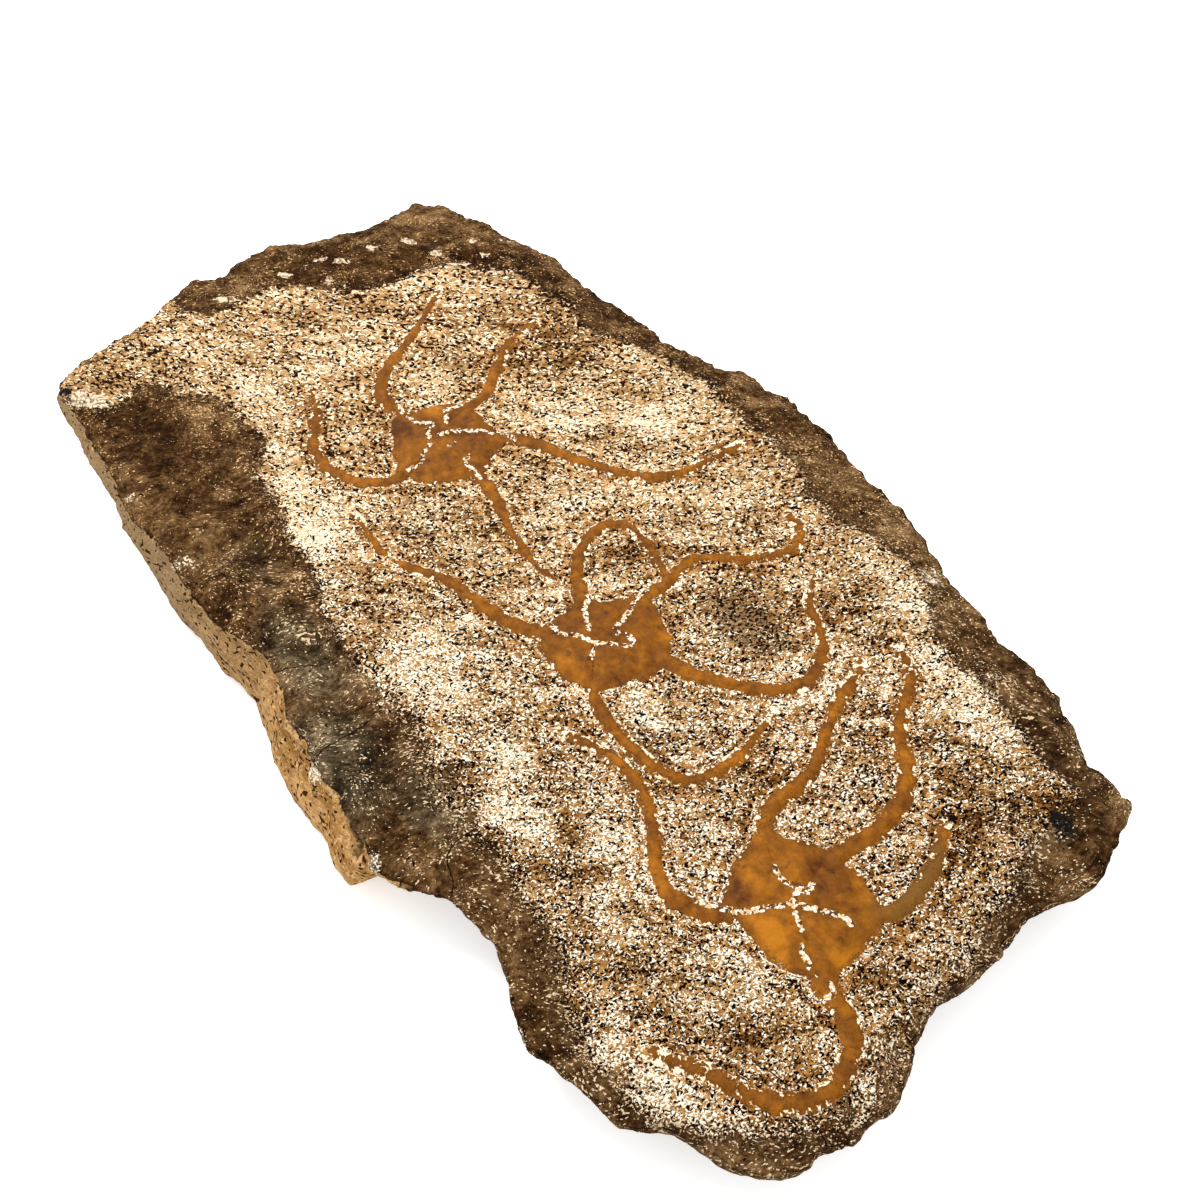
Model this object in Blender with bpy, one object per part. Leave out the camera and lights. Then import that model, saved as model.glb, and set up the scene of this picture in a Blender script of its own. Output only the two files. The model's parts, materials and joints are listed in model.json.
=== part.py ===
"""Three fossil brittle stars standing in low relief on a broken slab of fine brown stone.

Metres, +Z up. The slab lies on its flat underside at z = 0, its long axis along X, and the
origin is the middle of the whole piece's footprint. All plan places below are in millimetres
from a datum on the worked face, near the middle star; the model is centred at the end.
"""

import math
import random

import bmesh
import bpy
from mathutils import Matrix, Vector, noise
from mathutils.bvhtree import BVHTree
from mathutils.geometry import delaunay_2d_cdt, interpolate_bezier, intersect_point_line

MM = 0.001

# Slab
FACE_HEIGHT = 22 * MM  # worked face above the underside
SWELL = 0.7 * MM  # slow rise and fall of the worked face
SWELL_LENGTH = 70 * MM
MARGIN = 15 * MM  # width of the chipped margin that falls to the rim
MARGIN_ROUND = 1.6  # how gently the margin starts to fall: 1 is a straight bevel
RIM_STEP = 5 * MM  # facet length along the broken edge
FACE_STEP = 8.5 * MM  # facet size on the worked face
FACE_SCATTER = 0.2  # how far its corners stray from even rows, in facets
FACE_CLEAR = 3.5 * MM  # stone between the rim and the first of those corners
CHIP = 1.3 * MM  # how far the chips of the broken sides stand in or out
CHIP_LENGTH = 14 * MM
CHIP_FLATNESS = 2.5  # the chips are this much longer than they are high
BASE_SHARE = Vector((0.9, 0.84))  # share of the footprint that the flat underside takes
SEED = 11

# The broken sides from the face down: share of the height left, and how far the wall swells.
SIDE_COURSES = [(0.86, 0.9 * MM), (0.63, 1.6 * MM), (0.42, 0.7 * MM), (0.2, 0.4 * MM), (0, -1.6 * MM)]

# The rim of the face, counter-clockwise from the front left corner. Each stretch of it gives
# how far the rim drops below the face, how far the foot is set in under the rim, how far the
# foot is lifted off the underside's plane, and its corners.
RIM_STRETCHES = [
    ("front left corner", 2.5, -1.5, 6, [
        (-153, -79), (-146, -82), (-130, -82), (-105, -84), (-85, -86.5)]),
    ("front", 2.2, -3.5, 1, [
        (-65, -85), (-50, -85.5), (-32, -84.5), (-15, -81.5), (5, -87), (27, -89)]),
    ("front spur", 2.5, -6, 5, [(35, -87), (49, -89)]),
    ("front bay", 2.5, 8, 12, [(56, -91), (61, -88.5), (66, -84), (73, -79), (87, -78)]),
    ("near corner", 2.5, 9, 4, [
        (110, -86.5), (118, -82.5), (135, -79.5), (144, -70), (156, -65.5), (166, -56.5)]),
    ("near end", 3, 8, 4, [
        (164, -49), (167, -41.5), (165.5, -36), (167, -30), (162.5, -21), (157, -8), (158, 3),
        (154.5, 24.5), (158.5, 41.5), (158.5, 47), (152, 62), (142, 67.5), (137, 66.5)]),
    ("back", 2.6, 2, 2, [
        (127, 74), (123, 74), (117, 79), (103, 81), (97, 79), (92.5, 79.5), (86, 83), (71, 85),
        (67, 88), (63, 87.5), (57, 93), (49, 92.5), (44, 94), (33, 94.5), (18, 98), (-2, 100),
        (-9, 100), (-16, 97.5), (-27.5, 98), (-32.5, 91.5), (-48, 89.5), (-54, 86), (-68, 87),
        (-84, 85), (-94, 83), (-113, 85.5), (-124, 83.5), (-131, 78), (-143, 76.5),
        (-149, 74), (-164, 72), (-165, 68.5), (-172.5, 65.5)]),
    ("far end", 2.2, 1, 5, [
        (-169, 53.5), (-169.5, 31.5), (-172, 27), (-174.5, 16.5), (-180, 12), (-178, 2),
        (-172.5, -13.5), (-175, -22.5), (-172, -34), (-166, -44), (-164, -55.5),
        (-159.5, -69.5)]),
]

# Stars
BED_GAP = 0.35 * MM  # clearance between a star's underside and the stone
STAR_EDGE = 0.4 * MM  # height of a star's edge above its underside
STAR_DOME = 2.6 * MM  # most that a star rises above its edge
DOME_REACH = 4.5 * MM  # how quickly it rises from the edge
FURROW_DEPTH = 0.7 * MM  # the five mouth furrows on a disc
FURROW_WIDTH = 3 * MM
DISC_RINGS = (0.72, 0.4)  # inner rings of a disc, as shares of its radius
ARM_STEP = 5 * MM
TIP_WIDTH = 1.5 * MM

# Each star: the middle of its mouth, the outline of its disc (clockwise), and its five arms, each
# with its width at the disc and its route from the disc to the tip.
STARS = {
    "starfish_upper": {
        "mouth": (-56, 1),
        "disc": [
            (-79, -2), (-70, 1), (-70, 8), (-66, 14), (-61, 16.5), (-52, 16), (-44, 17.5),
            (-40.5, 12), (-36, 4), (-36, -1.5), (-38.5, -8), (-44, -14), (-48, -18),
            (-56, -15), (-64, -11), (-70, -7)],
        "arms": [
            (5.5, [(-74, -3.5), (-85, -2), (-92, 4), (-100, 16.5), (-109, 29), (-119, 42)]),
            (5.0, [(-62, 13), (-64, 23), (-74, 35), (-81, 43.5), (-84, 57)]),
            (5.0, [(-46, 15), (-39, 21.5), (-20, 30), (-7, 39), (-1, 49), (0.5, 74)]),
            (5.0, [(-40, 1.5), (-28, 1), (-10, -3.5), (10, -5.6)]),
            (5.0, [(-48, -15), (-50, -22), (-57, -29), (-68, -32.5), (-79, -29), (-90, -22),
                   (-100, -19)]),
        ]},
    "starfish_middle": {
        "mouth": (34, -8),
        "disc": [
            (20, -1), (25, 2), (27, 9), (31, 13), (38, 11), (45, 9), (51, 3), (52.5, -3),
            (50.5, -9), (49.5, -16), (46, -20), (38, -22.5), (28, -21), (19, -20), (22, -14),
            (20.5, -8)],
        "arms": [
            (5.0, [(22, -18.5), (15, -22.5), (2, -25.5), (-9, -28.5), (-22, -35.5),
                   (-33, -36.3), (-45, -34)]),
            (4.5, [(22, -3), (17.5, -1), (7, 6.5), (2.5, 16), (5, 23.5), (13, 24.3), (30, 21)]),
            (4.5, [(30, 11), (30, 20), (27.5, 31), (36, 42.5), (41.5, 56), (38, 62), (29, 64)]),
            (5.5, [(47, 1.5), (57, 5), (73, 17), (77.5, 27), (72, 38), (58, 46), (51, 55)]),
            (4.5, [(46, -18.5), (57, -21), (73, -20), (82, -15.5), (84, -2), (79, 15)]),
        ]},
    "starfish_lower": {
        "mouth": (121, -17.5),
        "disc": [
            (102, -10), (108, -7), (114, -3), (122, -0.5), (131, -1), (138.5, -4), (138, -10),
            (139.5, -18), (141, -24.5), (133, -28.5), (127, -31.5), (120, -31), (114, -32),
            (109, -28), (105, -21), (103.5, -15)],
        "arms": [
            (5.5, [(115, -30), (108, -37.5), (98, -38), (88, -31.5), (77, -26), (64, -26.7),
                   (51, -32.5)]),
            (5.5, [(106, -12.5), (99.5, -5.5), (98, 9), (88, 27), (81, 44)]),
            (5.5, [(118, -5), (119, 12), (114, 26), (101, 36), (92, 50), (82, 54)]),
            (5.5, [(135, -6), (136.5, 4), (133.5, 15), (127, 25)]),
            (5.5, [(137, -25), (150, -27.5), (156.5, -39), (152, -50), (139, -57.5),
                   (127, -65)]),
        ]},
}

# Cutting a plan into triangles
INSIDE_ONLY = 1  # keep the triangles that lie inside its outlines
JOIN_WITHIN = 0.01 * MM  # corners closer than this become one

STONE_COLOUR = (0.30, 0.20, 0.11, 1)
STONE_ROUGHNESS = 0.9
STAR_COLOUR = (0.42, 0.16, 0.02, 1)
STAR_ROUGHNESS = 0.6


def clear_scene():
    for item in list(bpy.data.objects):
        bpy.data.objects.remove(item, do_unlink=True)


def plain_material(name, colour, roughness):
    material = bpy.data.materials.new(name)
    material.use_nodes = True
    shader = material.node_tree.nodes["Principled BSDF"]
    shader.inputs["Base Color"].default_value = colour
    shader.inputs["Roughness"].default_value = roughness
    shader.inputs["Metallic"].default_value = 0
    return material


def plan(point):
    """A plan place in millimetres, as a vector in metres."""
    return Vector((point[0] * MM, point[1] * MM))


def add_object(name, bm, material):
    """Turn a finished bmesh into a named node with its faces pointing out."""
    bmesh.ops.recalc_face_normals(bm, faces=bm.faces)
    mesh = bpy.data.meshes.new(name)
    bm.to_mesh(mesh)
    bm.free()
    mesh.materials.append(material)
    node = bpy.data.objects.new(name, mesh)
    bpy.context.scene.collection.objects.link(node)
    return node


# Slab ----------------------------------------------------------------------------------------

def rim_stations():
    """Even stations along the rim: place, drop, foot set-in and foot lift, in metres."""
    corners = [(plan(corner), Vector((drop, inset, lift)) * MM)
               for _, drop, inset, lift, points in RIM_STRETCHES for corner in points]
    stations = []
    for (start, start_form), (end, end_form) in zip(corners, corners[1:] + corners[:1]):
        steps = max(1, round((end - start).length / RIM_STEP))
        for step in range(steps):
            share = step / steps
            stations.append((start.lerp(end, share), start_form.lerp(end_form, share)))
    return stations


def outward(places, index):
    """The level direction that points out of the rim, taken over a few stations."""
    along = places[(index + 2) % len(places)] - places[index - 2]
    return Vector((along.y, -along.x)).normalized()


def segment_distance(place, start, end):
    foot, share = intersect_point_line(place, start, end)
    foot = start if share < 0 else end if share > 1 else foot
    return (place - foot).length


def edge_distance(place, outline):
    """Distance from a place to the nearest edge of a closed outline, and that edge's index."""
    edges = zip(outline, outline[1:] + outline[:1])
    return min((segment_distance(place, *edge), index) for index, edge in enumerate(edges))


def inside(place, outline):
    """True where a vertical line through the outline is crossed an odd number of times."""
    crossed = False
    for start, end in zip(outline, outline[1:] + outline[:1]):
        if (start.y > place.y) != (end.y > place.y):
            share = (place.y - start.y) / (end.y - start.y)
            crossed ^= place.x < start.x + share * (end.x - start.x)
    return crossed


def face_height(place, distance, drop):
    """Height of the worked face: a slow swell, falling over the margin to the rim."""
    swell = SWELL * noise.noise((place.x / SWELL_LENGTH, place.y / SWELL_LENGTH, SEED))
    fall = max(0, 1 - distance / MARGIN)
    return FACE_HEIGHT + swell - drop * fall ** MARGIN_ROUND


def face_places(places):
    """Loosely scattered places over the face, clear of its rim."""
    scatter = random.Random(SEED)
    low_x, high_x = min(p.x for p in places), max(p.x for p in places)
    low_y, high_y = min(p.y for p in places), max(p.y for p in places)
    row_step = FACE_STEP * math.sqrt(0.75)
    found = []
    for row in range(int((high_y - low_y) / row_step) + 1):
        for column in range(int((high_x - low_x) / FACE_STEP) + 1):
            shift = 0.5 * (row % 2)
            nudge = Vector((scatter.uniform(-1, 1), scatter.uniform(-1, 1))) * FACE_SCATTER
            steps = Vector((column + shift + nudge.x, row + nudge.y))
            place = Vector((low_x + steps.x * FACE_STEP, low_y + steps.y * row_step))
            if inside(place, places) and edge_distance(place, places)[0] > FACE_CLEAR:
                found.append(place)
    return found


def bridge(bm, upper, lower):
    """A closed band of quads between two courses of the same count."""
    for index, corner in enumerate(upper):
        after = (index + 1) % len(upper)
        bm.faces.new((corner, upper[after], lower[after], lower[index]))


def build_slab(material):
    """The broken slab: its face, its chipped sides course by course, and its flat underside."""
    stations = rim_stations()
    places = [place for place, _ in stations]
    forms = [form for _, form in stations]
    count = len(places)

    loose = face_places(places)
    flat, _, triangles, *_ = delaunay_2d_cdt(
        places + loose, [], [list(range(count))], INSIDE_ONLY, JOIN_WITHIN)
    bm = bmesh.new()
    face = []
    for place in flat:
        distance, edge = edge_distance(place, places)
        face.append(bm.verts.new((*place, face_height(place, distance, forms[edge].x))))
    for triangle in triangles:
        bm.faces.new([face[corner] for corner in triangle])

    above = face[:count]
    for share, swell in SIDE_COURSES:
        course = []
        for index, (place, form) in enumerate(zip(places, forms)):
            rim_height, lift = face[index].co.z, form.z
            height = lift + share * (rim_height - lift)
            grain = Vector((place.x, place.y, CHIP_FLATNESS * height)) / CHIP_LENGTH
            out = swell + CHIP * noise.noise(grain) - form.y * (1 - share)
            side = place + outward(places, index) * out
            course.append(bm.verts.new((*side, height)))
        bridge(bm, above, course)
        above = course

    middle = sum((foot.co for foot in above), Vector()) / count
    base = []
    for foot in above:
        reach = foot.co - middle
        base.append(bm.verts.new((
            middle.x + reach.x * BASE_SHARE.x, middle.y + reach.y * BASE_SHARE.y, 0)))
    bridge(bm, above, base)
    bm.faces.new(base)
    return add_object("matrix_slab", bm, material)


# Stars ---------------------------------------------------------------------------------------

def smooth_route(points):
    """Even steps along a smooth curve through a route's points."""
    places = [plan(point) for point in points]
    padded = [places[0] * 2 - places[1]] + places + [places[-1] * 2 - places[-2]]
    route = []
    for before, start, end, after in zip(padded, padded[1:], padded[2:], padded[3:]):
        steps = max(1, round((end - start).length / ARM_STEP))
        start_handle, end_handle = start + (end - before) / 6, end - (after - start) / 6
        route += interpolate_bezier(start, start_handle, end_handle, end, steps + 1)[:-1]
    return route + [places[-1]]


def arm_strip(points, width):
    """An arm's plan: its left and right edges beside its middle line, tapering to the tip."""
    route = smooth_route(points)
    left, right = [], []
    for index, place in enumerate(route):
        along = route[min(index + 1, len(route) - 1)] - route[max(index - 1, 0)]
        across = Vector((-along.y, along.x)).normalized()
        share = index / (len(route) - 1)
        half = (width * MM + (TIP_WIDTH - width * MM) * share) / 2
        left.append(place + across * half)
        right.append(place - across * half)
    return left, route, right


def star_plan(star):
    """Every place, furrow edge and face of a star in plan, where arms and disc may overlap."""
    mouth = plan(star["mouth"])
    disc = [plan(point) for point in star["disc"]]
    places = disc + [mouth.lerp(place, share) for share in DISC_RINGS for place in disc]
    edges, faces = [], [list(reversed(range(len(disc))))]
    for width, points in star["arms"]:
        left, route, right = arm_strip(points, width)
        edges.append((len(places), len(places) + 1))
        places += [mouth, route[0]]
        start, count = len(places), len(route)
        places += left + route + right
        for row in (start, start + count):
            for near in range(row, row + count - 1):
                faces.append([near + count, near + 1 + count, near + 1, near])
    return places, edges, faces


def rim_edges(triangles):
    """The directed edges that only one triangle uses."""
    edges = {edge for a, b, c in triangles for edge in ((a, b), (b, c), (c, a))}
    return [(start, end) for start, end in edges if (end, start) not in edges]


def star_rise(place, rim, furrows):
    """How far a star stands above its underside at one place in plan."""
    depth = min(segment_distance(place, start, end) for start, end in rim)
    furrow = min(segment_distance(place, start, end) for start, end in furrows)
    cut = FURROW_DEPTH * max(0, 1 - furrow / FURROW_WIDTH)
    return STAR_EDGE + STAR_DOME * (1 - math.exp(-depth / DOME_REACH)) - min(cut, depth / 2)


def build_star(name, star, ground, material):
    """One star: its plan cut into triangles, raised off the face as a low dome."""
    places, edges, faces = star_plan(star)
    flat, _, triangles, _, _, sources = delaunay_2d_cdt(
        places, edges, faces, INSIDE_ONLY, JOIN_WITHIN)
    triangles = [corners for corners, source in zip(triangles, sources) if source]
    rim = rim_edges(triangles)
    rim_places = [(flat[start], flat[end]) for start, end in rim]
    furrows = [(places[start], places[end]) for start, end in edges]

    bm = bmesh.new()
    under, over = {}, {}
    for corner in sorted({corner for corners in triangles for corner in corners}):
        place = flat[corner]
        bed = ground.ray_cast((*place, 1), (0, 0, -1))[0].z + BED_GAP
        under[corner] = bm.verts.new((*place, bed))
        over[corner] = bm.verts.new((*place, bed + star_rise(place, rim_places, furrows)))
    for a, b, c in triangles:
        bm.faces.new((over[a], over[b], over[c]))
        bm.faces.new((under[c], under[b], under[a]))
    for start, end in rim:
        bm.faces.new((over[end], over[start], under[start], under[end]))
    return add_object(name, bm, material)


# Whole piece ---------------------------------------------------------------------------------

def centre_on_origin(nodes):
    """Bring the middle of the footprint to the origin and the underside to z = 0."""
    corners = [vertex.co for node in nodes for vertex in node.data.vertices]
    low = Vector(min(corner[axis] for corner in corners) for axis in range(3))
    high = Vector(max(corner[axis] for corner in corners) for axis in range(3))
    shift = Vector((-(low.x + high.x) / 2, -(low.y + high.y) / 2, -low.z))
    for node in nodes:
        node.data.transform(Matrix.Translation(shift))


def main():
    clear_scene()
    slab = build_slab(plain_material("stone", STONE_COLOUR, STONE_ROUGHNESS))
    ground = BVHTree.FromObject(slab, bpy.context.evaluated_depsgraph_get())
    star_material = plain_material("star", STAR_COLOUR, STAR_ROUGHNESS)
    stars = [build_star(name, star, ground, star_material) for name, star in STARS.items()]
    centre_on_origin([slab] + stars)


main()
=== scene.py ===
"""Looks of the fossil starfish plate: a broken brown slab with three ochre brittle stars."""

import json
import math
import random

import bpy
import numpy as np
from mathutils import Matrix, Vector
from mathutils.bvhtree import BVHTree
from mathutils.geometry import interpolate_bezier
from mathutils.kdtree import KDTree

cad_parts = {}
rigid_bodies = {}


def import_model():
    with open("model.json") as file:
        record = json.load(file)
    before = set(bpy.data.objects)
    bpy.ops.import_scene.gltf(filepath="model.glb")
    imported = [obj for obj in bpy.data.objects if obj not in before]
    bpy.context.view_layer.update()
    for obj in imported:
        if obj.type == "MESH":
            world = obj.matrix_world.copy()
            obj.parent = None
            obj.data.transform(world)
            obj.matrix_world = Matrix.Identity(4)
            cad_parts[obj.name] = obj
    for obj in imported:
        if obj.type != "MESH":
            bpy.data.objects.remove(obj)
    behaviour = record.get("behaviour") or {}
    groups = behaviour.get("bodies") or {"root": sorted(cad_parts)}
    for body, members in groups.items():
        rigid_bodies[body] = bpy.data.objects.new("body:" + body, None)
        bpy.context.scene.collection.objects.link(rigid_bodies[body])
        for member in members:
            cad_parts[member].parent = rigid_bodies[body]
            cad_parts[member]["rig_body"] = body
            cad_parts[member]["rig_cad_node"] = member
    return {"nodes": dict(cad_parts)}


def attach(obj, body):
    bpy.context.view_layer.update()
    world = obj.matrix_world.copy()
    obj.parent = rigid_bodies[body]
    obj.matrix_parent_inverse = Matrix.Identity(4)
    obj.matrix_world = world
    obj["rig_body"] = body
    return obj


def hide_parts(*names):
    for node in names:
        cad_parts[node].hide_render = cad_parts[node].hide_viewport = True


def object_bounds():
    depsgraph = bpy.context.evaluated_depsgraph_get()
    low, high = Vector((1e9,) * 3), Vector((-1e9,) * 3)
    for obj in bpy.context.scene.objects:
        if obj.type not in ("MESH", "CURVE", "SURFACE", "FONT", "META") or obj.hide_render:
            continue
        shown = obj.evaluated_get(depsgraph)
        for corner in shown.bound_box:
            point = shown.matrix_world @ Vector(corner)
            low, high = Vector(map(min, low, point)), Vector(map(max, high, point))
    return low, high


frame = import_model()
solid_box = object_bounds()
MM = 0.001

# Camera --------------------------------------------------------------------------------------
# It stands over the near end of the plate and looks down along it at fifty degrees, as a
# person does who stands at the table with the piece lying on it.
CAMERA_PLACE = (210.1 * MM, -137.2 * MM, 290 * MM)
LINE_OF_SIGHT = Vector((-0.5134, 0.3868, -0.766))
bpy.ops.object.camera_add(location=CAMERA_PLACE)
camera = bpy.context.active_object
camera.rotation_euler = LINE_OF_SIGHT.to_track_quat("-Z", "Y").to_euler()
camera.data.lens = 39  # millimetres, as is the sensor
camera.data.sensor_width = 36
bpy.context.scene.camera = camera

# Slab ----------------------------------------------------------------------------------------
# One broken slab of fine brown sandstone. Its upper face was scraped down to the fossils with
# a needle, which left a field of pale scratches inside the dark natural rind; its sides are
# tan broken rock with small pits, and chips run along every edge.
DATUM = np.array((6.88, -3.31))  # plan places are counted from here, in millimetres
EDGE_GRAIN, SIDE_GRAIN, FACE_GRAIN, UNDERSIDE_GRAIN = 1.1 * MM, 2 * MM, 2.3 * MM, 6 * MM
EDGE_REACH, SIDE_REACH = 3 * MM, 6 * MM  # how far round the edges and sides the grain is finer
EDGE_FOOT = 14 * MM  # the upper edge and its chips lie above this height
EDGE_ROUNDING = 6  # how many times the solid's hard edges are smoothed
CHIP_SEED = 7


def take_copy(node, name):
    """A new piece with a solid's shape, its loose triangles joined up."""
    bpy.ops.object.select_all(action="DESELECT")
    frame["nodes"][node].select_set(True)
    bpy.context.view_layer.objects.active = frame["nodes"][node]
    bpy.ops.object.duplicate()
    piece = bpy.context.active_object
    piece.name = piece.data.name = name
    piece.parent = None
    piece.data.materials.clear()
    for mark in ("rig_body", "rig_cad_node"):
        del piece[mark]
    bpy.ops.object.mode_set(mode="EDIT")
    bpy.ops.mesh.select_all(action="SELECT")
    bpy.ops.mesh.remove_doubles(threshold=0.01 * MM)
    bpy.ops.mesh.customdata_custom_splitnormals_clear()
    bpy.ops.object.mode_set(mode="OBJECT")
    return piece


def corners_of(piece):
    """The places of a piece's corners, one row each."""
    found = np.empty(len(piece.data.vertices) * 3)
    piece.data.vertices.foreach_get("co", found)
    return found.reshape(-1, 3)


def normals_of(piece):
    """The outward direction at each of a piece's corners, one row each."""
    found = np.empty(len(piece.data.vertices) * 3)
    piece.data.vertices.foreach_get("normal", found)
    return found.reshape(-1, 3)


def move_corners(piece, places):
    """Put a piece's corners at new places."""
    piece.data.vertices.foreach_set("co", places.ravel())
    piece.data.update()


def cut_long_edges(piece, rounds, longest):
    """Halve every edge that is longer than it should be, several times over."""
    bpy.context.tool_settings.mesh_select_mode = (False, True, False)
    for _ in range(rounds):
        mesh = piece.data
        ends = np.empty(len(mesh.edges) * 2, dtype=int)
        mesh.edges.foreach_get("vertices", ends)
        starts, stops = corners_of(piece)[ends.reshape(-1, 2)].transpose(1, 0, 2)
        lengths = np.linalg.norm(starts - stops, axis=1)
        mesh.vertices.foreach_set("select", np.zeros(len(mesh.vertices), dtype=bool))
        mesh.polygons.foreach_set("select", np.zeros(len(mesh.polygons), dtype=bool))
        mesh.edges.foreach_set("select", lengths > longest((starts + stops) / 2))
        bpy.ops.object.mode_set(mode="EDIT")
        bpy.ops.mesh.subdivide(number_cuts=1)
        bpy.ops.mesh.select_all(action="SELECT")
        bpy.ops.mesh.quads_convert_to_tris(quad_method="SHORTEST_DIAGONAL")
        bpy.ops.object.mode_set(mode="OBJECT")


def soften(piece, times):
    """Round off a piece's hard edges."""
    bpy.ops.object.mode_set(mode="EDIT")
    bpy.ops.mesh.select_all(action="SELECT")
    bpy.ops.mesh.vertices_smooth(factor=0.5, repeat=times)
    bpy.ops.object.mode_set(mode="OBJECT")


def rise(values, low, high):
    """0 below low, 1 above high, and a smooth step between them."""
    share = np.clip((values - low) / (high - low), 0, 1)
    return share * share * (3 - 2 * share)


def plan_of(places):
    """Plan places in millimetres from the datum."""
    return places[:, :2] / MM - DATUM


def line_distance(spots, line, closed=False):
    """Each spot's distance from a line, the side it lies on (+1 left) and how far along."""
    ends = np.array(line + line[:1] if closed else line, dtype=float)
    best, side, along_line = np.full(len(spots), 1e9), np.ones(len(spots)), np.zeros(len(spots))
    travelled = 0
    for start, end in zip(ends, ends[1:]):
        along = end - start
        share = np.clip((spots - start) @ along / (along @ along), 0, 1)
        away = spots - (start + share[:, None] * along)
        gap = np.hypot(*away.T)
        closer = gap < best
        best[closer] = gap[closer]
        side[closer] = np.sign(along[0] * away[:, 1] - along[1] * away[:, 0])[closer]
        along_line[closer] = (travelled + share * np.hypot(*along))[closer]
        travelled += np.hypot(*along)
    return best, side, along_line


def depth_inside(spots, outline):
    """Each spot's distance from a closed outline, below zero where it lies outside."""
    ends = np.array(outline + outline[:1], dtype=float)
    crossed = np.zeros(len(spots), dtype=bool)
    for start, end in zip(ends, ends[1:]):
        spans = (start[1] > spots[:, 1]) != (end[1] > spots[:, 1])
        climb = end[1] - start[1] or 1
        reach = start[0] + (spots[:, 1] - start[1]) / climb * (end[0] - start[0])
        crossed ^= spans & (spots[:, 0] < reach)
    gap, _, _ = line_distance(spots, outline, closed=True)
    return np.where(crossed, gap, -gap)


def nearest_gap(spots, marks):
    """Each spot's distance from the nearest of some marks."""
    tree = KDTree(len(marks))
    for index, mark in enumerate(marks):
        tree.insert((*mark, 0)[:3], index)
    tree.balance()
    return np.array([tree.find((*spot, 0)[:3])[2] for spot in spots])


def patches(spots, marks):
    """How strongly marks cover each spot: x, y, half length, half width, turn and strength."""
    cover = np.zeros(len(spots))
    for x, y, length, width, turn, strength in marks:
        angle = math.radians(turn)
        away = spots - (x, y)
        along = (away[:, 0] * math.cos(angle) + away[:, 1] * math.sin(angle)) / length
        across = (away[:, 1] * math.cos(angle) - away[:, 0] * math.sin(angle)) / width
        cover = np.maximum(cover, strength * (1 - rise(np.hypot(along, across), 0.4, 1.3)))
    return cover


def keep_layer(piece, name, values):
    """Store a number for each corner, for the material to read."""
    layer = piece.data.attributes.new(name, "FLOAT", "POINT")
    layer.data.foreach_set("value", np.asarray(values, dtype=np.float32))


def weight_by(piece, name, values):
    """Store such numbers as a vertex group, in sixteen steps, for a modifier to read."""
    group = piece.vertex_groups.new(name=name)
    steps = np.round(np.clip(values, 0, 1) * 16).astype(int)
    for step in range(1, 17):
        group.add([int(corner) for corner in np.flatnonzero(steps == step)], step / 16, "REPLACE")


def roughen(piece, name, kind, size, height, group="", middle=0.5, direction="NORMAL", **settings):
    """Push a piece's surface in and out by a procedural pattern, and apply it.

    The pattern's middle value leaves the surface where it is."""
    pattern = bpy.data.textures.new(name, kind)
    pattern.noise_scale = size
    for key, value in settings.items():
        setattr(pattern, key, value)
    bpy.ops.object.select_all(action="DESELECT")
    piece.select_set(True)
    bpy.context.view_layer.objects.active = piece
    bpy.ops.object.modifier_add(type="DISPLACE")
    push = piece.modifiers[-1]
    push.texture, push.strength, push.mid_level = pattern, height, middle
    push.texture_coords, push.vertex_group, push.direction = "LOCAL", group, direction
    bpy.ops.object.modifier_apply(modifier=push.name)


# Where the face was worked, counter-clockwise round the field of scratches.
WORKED = [
    (-190, -95), (-150, -82), (-140, -77), (-129, -70), (-130, -65), (-135, -62), (-130, -54),
    (-121, -52), (-115, -43), (-105, -42), (-85, -41), (-75, -50), (-60, -50), (-50, -53),
    (-30, -54), (-19, -60), (-5, -59), (5, -61), (15, -60), (25, -57), (40, -60), (50, -62),
    (60, -60), (72, -64), (92, -64), (105, -68), (118, -74), (125, -71), (138, -70), (145, -64),
    (153, -58), (157, -50), (160, -40), (158, -25), (155, -12), (153, 5), (150, 15), (148, 25),
    (145, 30), (142, 37), (145, 45), (141, 52), (140, 57), (127, 57), (120, 59), (110, 61),
    (95, 62), (85, 63), (80, 69), (75, 76), (65, 77), (50, 76), (40, 73.5), (28, 73), (20, 76),
    (15, 79), (0, 80), (-20, 80), (-25, 83), (-30, 81), (-45, 79), (-56, 75), (-65, 68),
    (-72, 67), (-85, 70), (-95, 69), (-112, 67), (-118, 57), (-128, 52), (-130, 45), (-130, 25),
    (-135, 17), (-145, 5), (-152, -5), (-150, -28), (-160, -34), (-190, -38)]

slab = take_copy("matrix_slab", "slab_stone")
cut_long_edges(slab, rounds=4, longest=lambda middles: np.full(len(middles), UNDERSIDE_GRAIN))
stone, facing = corners_of(slab), normals_of(slab)
side_corners = stone[(np.abs(facing[:, 2]) < 0.6) & (stone[:, 2] < EDGE_FOOT)]
edge_corners = stone[(facing[:, 2] > 0.1) & (facing[:, 2] < 0.97) & (stone[:, 2] > EDGE_FOOT)]


def slab_grain(middles):
    """Small triangles along the upper edge, middling ones on the face and sides."""
    grain = np.where(nearest_gap(middles, side_corners) < SIDE_REACH, SIDE_GRAIN, FACE_GRAIN)
    grain[nearest_gap(middles, edge_corners) < EDGE_REACH] = EDGE_GRAIN
    grain[middles[:, 2] < 0.2 * MM] = UNDERSIDE_GRAIN
    return grain


cut_long_edges(slab, rounds=3, longest=slab_grain)
soften(slab, EDGE_ROUNDING)

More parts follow.
